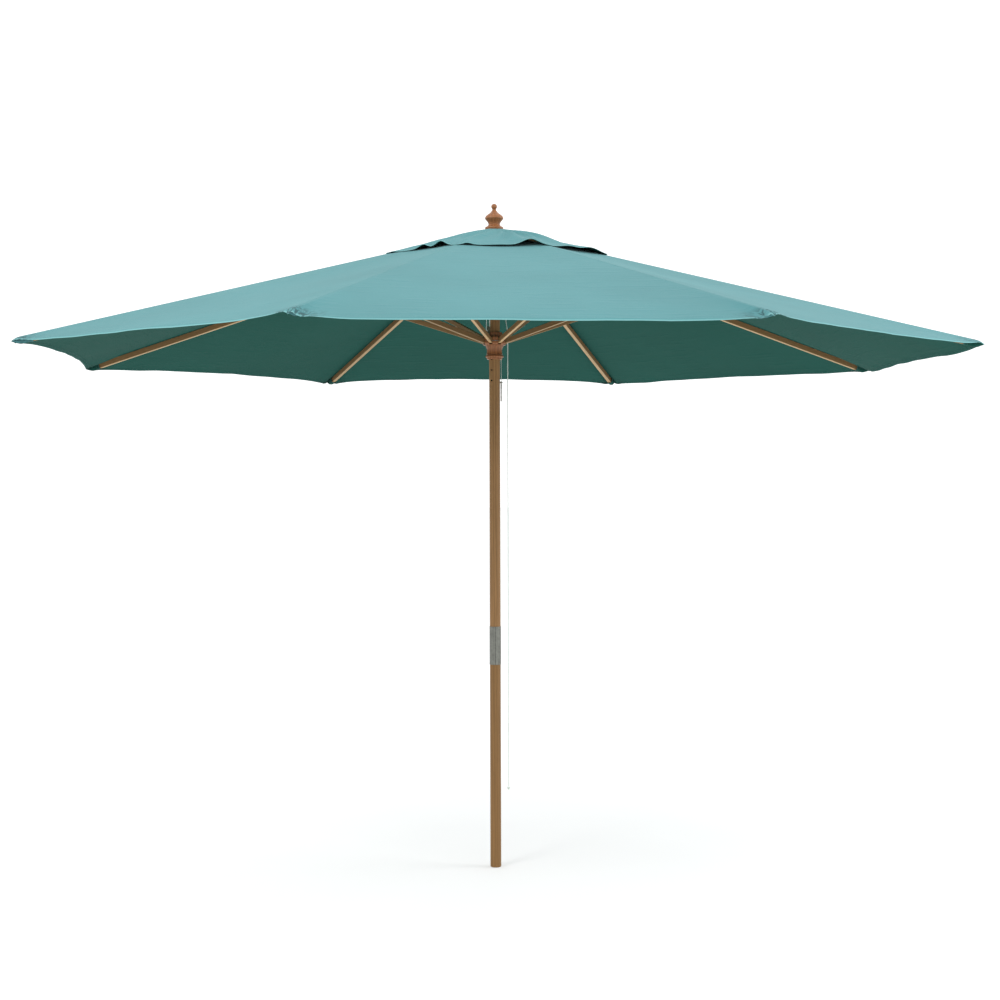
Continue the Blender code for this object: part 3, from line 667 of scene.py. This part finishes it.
def add_floor():
    bm = bmesh.new()
    bmesh.ops.create_circle(bm, cap_ends=True, segments=96, radius=80)
    mesh = bpy.data.meshes.new("floor")
    bm.to_mesh(mesh)
    bm.free()
    floor = add_object("floor", mesh)
    floor.location.z = -0.0005
    sockets = {"Roughness": 0.9, "Emission Strength": FLOOR_GLOW, "Emission Color": (1, 1, 1, 1)}
    made = new_material("floor", **sockets)
    patches = speckle(made, object_place(made), 0.8, 3)
    stops = [(0.3, (0.60, 0.60, 0.60)), (0.7, (0.63, 0.63, 0.63))]
    link_shader(made, "Base Color", ramp(made, patches, stops))
    mesh.materials.append(made)


# Cords


def add_cords():
    """The two falls of the pulley, the knot at the end, and the tether of the locking pin."""
    look = cord_material("cord", CORD_COLOUR)
    wheel_z = RUNNER_PIVOT_Z + RUNNER_PULLEY_RISE
    turn_r = RUNNER_GROOVE_R + CORD_R + 0.00025
    hub_turn_r = HUB_GROOVE_R + CORD_R + GAP

    down = [(ANCHOR_R, ANCHOR_END_Z), (ANCHOR_R, 2.310), (0.0415, 2.220), (0.0435, 2.120)]
    down.append((RUNNER_PULLEY_R + turn_r, wheel_z + 0.020))
    bend = arc((RUNNER_PULLEY_R, wheel_z), turn_r, 0, -180, 10)
    up = [(RUNNER_PULLEY_R - turn_r - 0.0002, wheel_z + 0.025), (0.0250, 2.140), (0.0230, 2.225)]
    up += [(0.0195, 2.262), (hub_turn_r + 0.0004, 2.298), (hub_turn_r, HUB_PULLEY_Z - 0.0004)]
    route = curve_through([at(PULLEY_AZIMUTH, r, z) for r, z in down + bend + up], 8)
    points = respaced(route, 0.0016)
    lift = add_object("lift_cord_braid", tube("lift_cord_braid", points, CORD_R, 12, look))
    low, high = wheel_z + 0.015, 2.220
    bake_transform(lift)
    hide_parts("lift_cord")

    over = [at(PULLEY_AZIMUTH, x, z) for x, z in arc((0, HUB_PULLEY_Z), hub_turn_r, 0, 180, 12)]
    opposite = PULLEY_AZIMUTH + 180
    leaving = [at(opposite, 0.0184, 2.280), at(opposite, 0.0228, 2.247)]
    rim = at(PULL_CORD_AZIMUTH, PULL_CORD_R, 0)
    low = rim + Vector((0, 0, 1.985))
    slanting = [leaving[-1].lerp(low, share) for share in (0.33, 0.66, 0.94)]
    heights = (1.945, 1.900, 1.700, 1.200, 0.700, PULL_CORD_END_Z)
    hanging = [rim + Vector((0, 0, z)) for z in heights]
    route = curve_through([*over, *leaving, *slanting, *hanging], 8)
    points = respaced(route, 0.0018)
    mesh = tube("pull_cord_braid", points, CORD_R, 12, look)
    pull = add_piece("pull_cord_braid", mesh, "upper_pole")
    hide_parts("pull_cord")
    knot = add_knot(look, rim)

    top, bottom = TETHER_TOP_Z, LOCK_PIN_TOP_Z + GAP
    rows = 60
    heights = [top + (bottom - top) * i / rows for i in range(rows + 1)]
    points = [at(LOCK_PIN_AZIMUTH, TETHER_OFFSET, z) for z in heights]
    mesh = tube("lock_pin_tether_braid", points, TETHER_R, 10, look, lay=TETHER_LAY)
    tether = add_piece("lock_pin_tether_braid", mesh, "lock_pin")
    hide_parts("lock_pin_tether")


def add_knot(look, place):
    """An overhand knot: a trefoil of the cord, drawn tight."""
    centre = place + Vector((0, 0, PULL_CORD_END_Z - GAP - KNOT_DROP))
    turns = 96
    points = []
    for i in range(turns + 1):
        t = 2 * math.pi * i / turns
        x = math.sin(t) + 2 * math.sin(2 * t)
        z = math.cos(t) - 2 * math.cos(2 * t)
        points.append(centre + Vector((x, 1.5 * math.sin(3 * t), z)) * KNOT_SCALE)
    mesh = tube("pull_cord_end_knot", points, CORD_R, 12, look)
    made = add_piece("pull_cord_end_knot", mesh, "upper_pole")
    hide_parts("pull_cord_knot")
    return made


# Canopy


def ridge_z(radius):
    """Height of the cloth's underside over the middle of a rib."""
    middle = HUB_PIVOT_Z - (radius - PIVOT_R) * math.tan(RIB_SLOPE)
    return middle + RIB_HEIGHT / 2 / math.cos(RIB_SLOPE) + CLOTH_LIFT


def vent_slope():
    """Rise of the vent cap's cone per metre outwards."""
    low = ridge_z(VENT_R) + CLOTH + SEAM_RISE + VENT_LIFT
    return (low - VENT_TOP_Z) / (VENT_R - VENT_FLAT_R)


class Canopy:
    """The main canopy's outline and surface."""

    name = "canopy"
    inner = CANOPY_OPENING
    outer_half = CANOPY_R * math.sin(HALF_STEP)
    chord = CANOPY_R * math.cos(HALF_STEP)
    hem = HEM
    thick = CLOTH
    seam_half = SEAM_HALF
    keep = GORE_KEEP
    columns = 18
    rows = 30

    def reach(self, towards_rib):
        return self.chord - SCALLOP_DEPTH * (1 - towards_rib**2)

    def height(self, place, along, towards_rib, share, up_from_hem):
        """Underside height: the flat gore, less its sag, its soft waves and its drooping hem."""
        z = ridge_z(along / math.cos(HALF_STEP))
        free = (1 - min(towards_rib / RIB_HOLD, 1) ** 2) ** 2
        z -= SAG * free * math.sin(math.pi * (0.06 + 0.80 * share))
        gore = round(math.degrees(math.atan2(place.x, -place.y)) / RIB_STEP) % RIB_COUNT
        inner_half = CANOPY_OPENING * math.tan(HALF_STEP)
        off_rib = (1 - towards_rib) * (inner_half * (1 - share) + self.outer_half * share)
        hem_drop = HEM_DROPS[gore] * (1 - min(towards_rib / RIB_HOLD, 1) ** 10) * share**4
        corner = CORNER_FALLS[gore] * smoothstep(SEAM_HALF, CORNER_FOLD, off_rib)
        corner *= smoothstep(CORNER_FROM, 1, share) * math.exp(-off_rib / CORNER_SPREAD)
        z -= (max(hem_drop, 0) ** 3 + corner**3) ** (1 / 3) + min(hem_drop, 0)
        loose = smoothstep(0.0, 0.35, 1 - towards_rib)
        z += SOFT_WAVES * loose * noise.noise(Vector((place.x * 3.1, place.y * 3.1, 0.5)))
        at_hem = loose * smoothstep(0.22, 0.0, up_from_hem)
        z += HEM_WAVES * at_hem * noise.noise(Vector((place.x * 9.0, place.y * 9.0, 4.5)))
        z -= HEM_DROOP * loose * (1 - min(up_from_hem / self.hem, 1)) ** 2
        radius = math.hypot(place.x, place.y)
        if radius > CORNER_START:
            z -= CORNER_DROP * ((radius - CORNER_START) / (CANOPY_R - CORNER_START)) ** 2
        return z


LIFTS = (  # azimuth, half width in degrees, and rise of each wave in the vent cap's hem
    (14.5, 5.0, 0.022),
    (-17.0, 2.6, 0.007),
    (-31.5, 4.5, 0.019),
    (-44.0, 4.0, 0.015),
    (-64.0, 3.0, 0.004),
    (41.0, 8.0, 0.012),
    (57.0, 8.0, 0.017),
    (92.0, 6.0, 0.009),
    (117.0, 7.0, 0.013),
    (150.0, 6.0, 0.010),
    (181.0, 5.0, 0.009),
    (208.0, 7.0, 0.014),
    (240.0, 6.0, 0.010),
    (270.0, 5.0, 0.008),
)

CAP_FOLDS = (  # azimuth, half width in degrees, and rise of each slanting fold in the vent cap
    (4.0, 3.5, 0.006),
    (17.0, 3.0, 0.010),
    (33.0, 4.0, 0.013),
    (52.0, 6.0, 0.017),
    (-14.0, 4.0, 0.006),
    (-32.0, 4.0, 0.009),
    (-50.0, 5.0, 0.010),
    (84.0, 6.0, 0.008),
    (110.0, 5.0, 0.010),
    (165.0, 6.0, 0.009),
    (215.0, 7.0, 0.011),
    (262.0, 6.0, 0.009),
)


class Vent:
    """The small cap over the opening. Its free hem stands off the canopy in waves."""

    name = "vent_cap"
    inner = VENT_INNER_R * math.cos(HALF_STEP)
    outer_half = VENT_R * math.sin(HALF_STEP)
    chord = VENT_R * math.cos(HALF_STEP)
    hem = VENT_HEM
    thick = VENT_CLOTH
    seam_half = VENT_SEAM_HALF
    keep = VENT_KEEP
    columns = 14
    rows = 14

    def reach(self, towards_rib):
        return self.chord - VENT_SCALLOP * (1 - towards_rib**2)

    def height(self, place, along, towards_rib, share, _):
        """Underside height: a cone, raised by the waves of its hem and by its slanting folds."""
        radius = along / math.cos(HALF_STEP)
        z = VENT_TOP_Z + (radius - VENT_FLAT_R) * vent_slope()
        azimuth = math.degrees(math.atan2(place.x, -place.y))
        lift = sum(rise * swell(azimuth, centre, width) for centre, width, rise in LIFTS)
        z += (lift + GAP) * share**2.2
        twisted = azimuth + CAP_TWIST * (share - 0.4)
        fold = sum(rise * swell(twisted, centre, width) for centre, width, rise in CAP_FOLDS)
        z += fold * math.sin(math.pi * min(share * 1.15, 1)) ** 0.8
        waves = noise.noise(Vector((place.x * 14, place.y * 14, 8.5)))
        return z + VENT_WAVES * share * (1 - towards_rib**2) * waves


def gore_point(azimuth, along, across, side):
    """Plan position beside a rib: along is the distance from the pole down the gore's middle,
    across the distance from that middle line towards the rib."""
    half_step = HALF_STEP * side
    middle = Vector((math.sin(half_step), -math.cos(half_step), 0))
    to_rib = Vector((-math.cos(half_step), -math.sin(half_step), 0)) * side
    return Matrix.Rotation(math.radians(azimuth), 3, "Z") @ (middle * along + to_rib * across)


def cloth_point(surface, azimuth, share, off_rib, side):
    """A point of the underside, with its distance up from the hem.

    off_rib is the distance from the seam."""
    inner_half = surface.inner * math.tan(HALF_STEP)
    half = inner_half + (surface.outer_half - inner_half) * share
    towards_rib = 1 - min(off_rib / half, 1)
    outer = surface.reach(towards_rib)
    along = surface.inner + (outer - surface.inner) * share
    place = gore_point(azimuth, along, half * towards_rib, side)
    up_from_hem = (outer - surface.inner) * (1 - share)
    place.z = surface.height(place, along, towards_rib, share, up_from_hem)
    return place, up_from_hem


def row_shares(surface):
    """Shares down the gore: even rows, then close ones at the hem."""
    length = surface.chord - surface.inner
    close = [0.0, FOLDED_EDGE, 0.0035, 0.007, 0.011]
    close += [surface.hem - FOLDED_EDGE, surface.hem, surface.hem + 0.0025]
    last = 1 - (surface.hem + 0.012) / length
    even = [last * i / surface.rows for i in range(surface.rows + 1)]
    return even + [1 - d / length for d in reversed(close)]


def cloth_mesh(name, surface, azimuth, columns, looks):
    """A thin closed sheet, whose top and underside have a material each. The underside's is the
    top's cloth darkened, a painted shade.

    Columns are functions of the half gore's width that give (distance from the seam, side)."""
    inner_half = surface.inner * math.tan(HALF_STEP)
    bm = bmesh.new()
    cloth = bm.loops.layers.uv.new("cloth")
    hem = bm.loops.layers.uv.new("hem")
    top, under, places = [], [], {}
    for share in row_shares(surface):
        half = inner_half + (surface.outer_half - inner_half) * share
        upper, lower = [], []
        for column in columns:
            off_rib, side = column(half)
            point, up = cloth_point(surface, azimuth, share, off_rib, side)
            near_seam = 1 - smoothstep(*SEAM_RIDGE, off_rib)
            hemmed = 1 - smoothstep(surface.hem - FOLDED_EDGE, surface.hem, up)
            edge = smoothstep(0.0, FOLDED_EDGE, up)
            middle = surface.thick / 2
            rise = (middle + near_seam * SEAM_RISE) * (0.4 + 0.6 * edge)
            drop = (middle + hemmed * surface.thick) * (0.4 + 0.6 * edge)
            above = bm.verts.new(point + Vector((0, 0, middle + rise)))
            below = bm.verts.new(point + Vector((0, 0, middle - drop)))
            across = off_rib * side
            places[above] = places[below] = ((across, share * surface.chord), (across, up))
            upper.append(above)
            lower.append(below)
        top.append(upper)
        under.append(lower)
    for sheet, look in ((top, 0), (under, 1)):
        for a, b in zip(sheet, sheet[1:]):
            for i in range(len(a) - 1):
                face = bm.faces.new((a[i], a[i + 1], b[i + 1], b[i]))
                face.material_index = look
    rims = [(top[0], under[0]), (top[-1], under[-1])]
    rims += [([row[i] for row in top], [row[i] for row in under]) for i in (0, -1)]
    for upper, lower in rims:
        for i in range(len(upper) - 1):
            bm.faces.new((upper[i], upper[i + 1], lower[i + 1], lower[i]))
    for face in bm.faces:
        for loop in face.loops:
            loop[cloth].uv, loop[hem].uv = places[loop.vert]
    return finished(bm, name, looks, sharp=True)


def seam_columns(half_width):
    """Columns across a seam, from one of its sides to the other."""
    places = (-1, -0.75, -0.56, -0.42, -0.2, 0, 0.2, 0.42, 0.56, 0.75, 1)
    return [lambda half, p=p: (min(abs(p) * half_width, half), 1 if p > 0 else -1) for p in places]


def gore_columns(half_width, side, count):
    """Columns from the seam's edge to the middle of the gore."""

    def column(share):
        return lambda half: (half_width + (half - half_width) * share**1.5, side)

    return [column(i / count) for i in range(count + 1)]


def add_gores(surface, number, looks, replaced):
    """The seam over one rib and the half gores on both its sides."""
    azimuth = rib_azimuth(number)
    body = f"rib_{number}"
    seam_half = surface.seam_half
    seam = f"{surface.name}_seam_{number}"
    mesh = cloth_mesh(seam, surface, azimuth, seam_columns(seam_half), looks)
    made = add_piece(seam, mesh, body)
    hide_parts(replaced)
    for side, word in ((-1, "left"), (1, "right")):
        name = f"{surface.name}_gore_{number}_{word}"
        columns = gore_columns(seam_half, side, surface.columns)
        mesh = cloth_mesh(name, surface, azimuth, columns, looks)
        made = add_piece(name, mesh, body)
        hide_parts(replaced)
        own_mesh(made)


def add_pocket(number, looks):
    """The pocket for the rib's end: a folded strip under the corner, open towards the pole."""
    place = rib_frame(rib_azimuth(number))
    bm = bmesh.new()
    cloth = bm.loops.layers.uv.new("cloth")
    hem = bm.loops.layers.uv.new("hem")
    rows = []
    for x, half, low in POCKET_STATIONS:
        high = 0.0103 - 0.0068 * smoothstep(1.738, 1.7664, x)
        side = [(half + 0.0006, high), (half, (high * 2 + low) / 3), (half, (high + low * 3) / 4)]
        side += [(half * 0.82, low + 0.0008), (half * 0.35, low)]
        section = side + [(-y, z) for y, z in reversed(side)]
        row = []
        for y, z in section:
            crease = noise.noise(Vector((x * 190, y * 260 + number * 3.7, z * 120)))
            out = Vector((0, y, z - 0.002)).normalized() * POCKET_CLOTH * max(crease, -0.3)
            row.append(bm.verts.new(place @ (Vector((x, y, z)) + out)))
        rows.append(row)
    for i, (a, b) in enumerate(zip(rows, rows[1:])):
        for j in range(len(a) - 1):
            face = bm.faces.new((a[j], a[j + 1], b[j + 1], b[j]))
            # Painted light and shade: front pockets' sides take the top cloth, back pockets and
            # bottoms the darker underside copy
            face.material_index = 0 if number in POCKETS_PAINTED_LIT and j not in (3, 4, 5) else 1
            corners = ((i, j), (i, j + 1), (i + 1, j + 1), (i + 1, j))
            for loop, (row, column) in zip(face.loops, corners):
                along = POCKET_STATIONS[row][0]
                loop[cloth].uv = (0.05 + 0.006 * column, along)
                loop[hem].uv = (0.006 * column, along - POCKET_STATIONS[0][0])
    bm.faces.new(rows[-1])
    name = f"canopy_pocket_{number}"
    made = add_object(name, finished(bm, name, looks))
    thick = made.modifiers.new("Thick", "SOLIDIFY")
    thick.thickness = POCKET_CLOTH
    thick.offset = 0
    # The inner shell takes the underside's painted-shade copy
    thick.material_offset = 1
    rounded = made.modifiers.new("Round", "SUBSURF")
    rounded.levels = rounded.render_levels = 2
    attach(made, f"rib_{number}")
    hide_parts(f"canopy_section_{number}")


def add_crown(looks):
    """The cap's clamped middle: a pleated disc under the finial, which stays over the hub when the
    parasol folds."""
    rings = (0.0103, 0.020, 0.030, 0.036, 0.042, 0.052, 0.061, CROWN_R - 0.001, CROWN_R)
    segments = 96
    bm = bmesh.new()
    cloth = bm.loops.layers.uv.new("cloth")
    hem = bm.loops.layers.uv.new("hem")
    layers = []
    for offset in (0.0, -VENT_CLOTH):
        layer = []
        for r in rings:
            ring = []
            for i in range(segments):
                azimuth = 360 * i / segments
                z = VENT_TOP_Z - 0.0002 + max(r - VENT_FLAT_R, 0) * vent_slope()
                if r > VENT_FLAT_R:
                    z -= 0.0012 * smoothstep(VENT_FLAT_R, VENT_FLAT_R + 0.006, r)
                    pleat = math.sin(math.radians(azimuth * 11)) * smoothstep(0.05, CROWN_R, r)
                    z += 0.0004 * pleat
                ring.append(bm.verts.new(at(azimuth, r, z + offset)))
            layer.append(ring)
        layers.append(layer)
    for layer, look in zip(layers, (0, 1)):
        for a, b in zip(layer, layer[1:]):
            for i in range(segments):
                j = (i + 1) % segments
                bm.faces.new((a[i], a[j], b[j], b[i])).material_index = look
    for ring in (0, -1):
        upper, lower = layers[0][ring], layers[1][ring]
        for i in range(segments):
            j = (i + 1) % segments
            bm.faces.new((upper[i], upper[j], lower[j], lower[i]))
    for face in bm.faces:
        for loop in face.loops:
            loop[cloth].uv = (loop.vert.co.x + 0.2, loop.vert.co.y)
            loop[hem].uv = (loop.vert.co.x, CROWN_R - loop.vert.co.xy.length)
    mesh = finished(bm, "vent_cap_crown", looks, sharp=True)
    made = add_piece("vent_cap_crown", mesh, "upper_pole")
    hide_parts("vent_canopy")


def add_canopy():
    # The underside's cloth and thread are darker copies of the top's: painted shade
    shaded_thread = shade(THREAD, 0.4)
    top = cloth_material("canopy_cloth_top", CLOTH_TOP, THREAD, sheen=0.06, gloss=0.22)
    under = cloth_material("canopy_cloth_under", CLOTH_UNDER_PAINTED_SHADE, shaded_thread, sheen=0.0, gloss=0.10)
    looks = (top, under)
    add_crown(looks)
    for number in range(1, RIB_COUNT + 1):
        add_gores(Canopy(), number, looks, f"canopy_section_{number}")
        add_gores(Vent(), number, looks, "vent_canopy")
        add_pocket(number, looks)


# Wood and metal


def finish_frame():
    upright = Matrix.Rotation(math.radians(-90), 4, "Y")
    steel = metal_material("steel", STEEL, 0.36, (60, 60, 60))
    drawn = metal_material("drawn_steel", DRAWN_STEEL, 0.34, (260, 260, 1.2))
    brass = metal_material("pulley_metal", PULLEY_METAL, 0.42, (160, 160, 160))
    core = POLE_R - 0.0006
    pole = wood_material("upper_pole_wood", UPPER_POLE_WOOD, upright, 0.50, 0.75, core=core)
    lower = wood_material("lower_pole_wood", LOWER_POLE_WOOD, upright, 0.52, 0.6)
    turned = wood_material("turned_wood", TURNED_WOOD, upright, 0.42, 0.55, coat=0.10)
    looks = {
        "lower_pole": (lower, "lower_pole_wood"),
        "pole_ferrule": (drawn, "steel"),
        "ferrule_screw": (steel, "steel"),
        "upper_pole": (pole, "pole_wood"),
        "hub": (turned, "turned_wood"),
        "runner": (turned, "turned_wood"),
        "finial": (turned, "turned_wood"),
        "finial_stud": (steel, "steel"),
        "hub_ring": (steel, "steel"),
        "runner_ring": (steel, "steel"),
        "hub_pulley_axle": (brass, "pulley_brass"),
        "hub_pulley_wheel": (brass, "pulley_brass"),
        "runner_pulley_block": (brass, "pulley_brass"),
        "runner_pulley_pin": (brass, "pulley_brass"),
        "runner_pulley_wheel": (brass, "pulley_brass"),
        "tether_eye": (steel, "steel"),
        "lock_pin": (steel, "steel"),
    }
    for number in range(1, RIB_COUNT + 1):
        azimuth = rib_azimuth(number)
        shift = Matrix.Translation((0.37 * number, 0.013 * (number % 3), 0.021 * (number % 4)))
        colour = shade(FRAME_WOOD, 1 + 0.10 * math.sin(number * 2.4))
        for bar, place in (("rib", rib_frame(azimuth)), ("strut", strut_frame(azimuth))):
            name = f"{bar}_wood_{number}"
            # The bars' sides are darkened with painted shade
            look = wood_material(name, colour, place @ shift, 0.5, 0.8, painted_side_shade=0.85)
            looks[f"{bar}_{number}"] = (look, "frame_wood")
        looks[f"strut_hinge_{number}"] = (steel, "steel")
    for name, (look, slot) in looks.items():
        polish(nodes[name], look)


bpy.context.scene.view_settings.view_transform = "Standard"
add_camera()
add_cords()
add_world()
add_floor()
add_area_light("key", KEY_PLACE, KEY_TARGET, KEY_SIZE, KEY_POWER, KEY_COLOUR)
add_area_light("fill", FILL_PLACE, FILL_TARGET, FILL_SIZE, FILL_POWER)
finish_frame()
add_canopy()
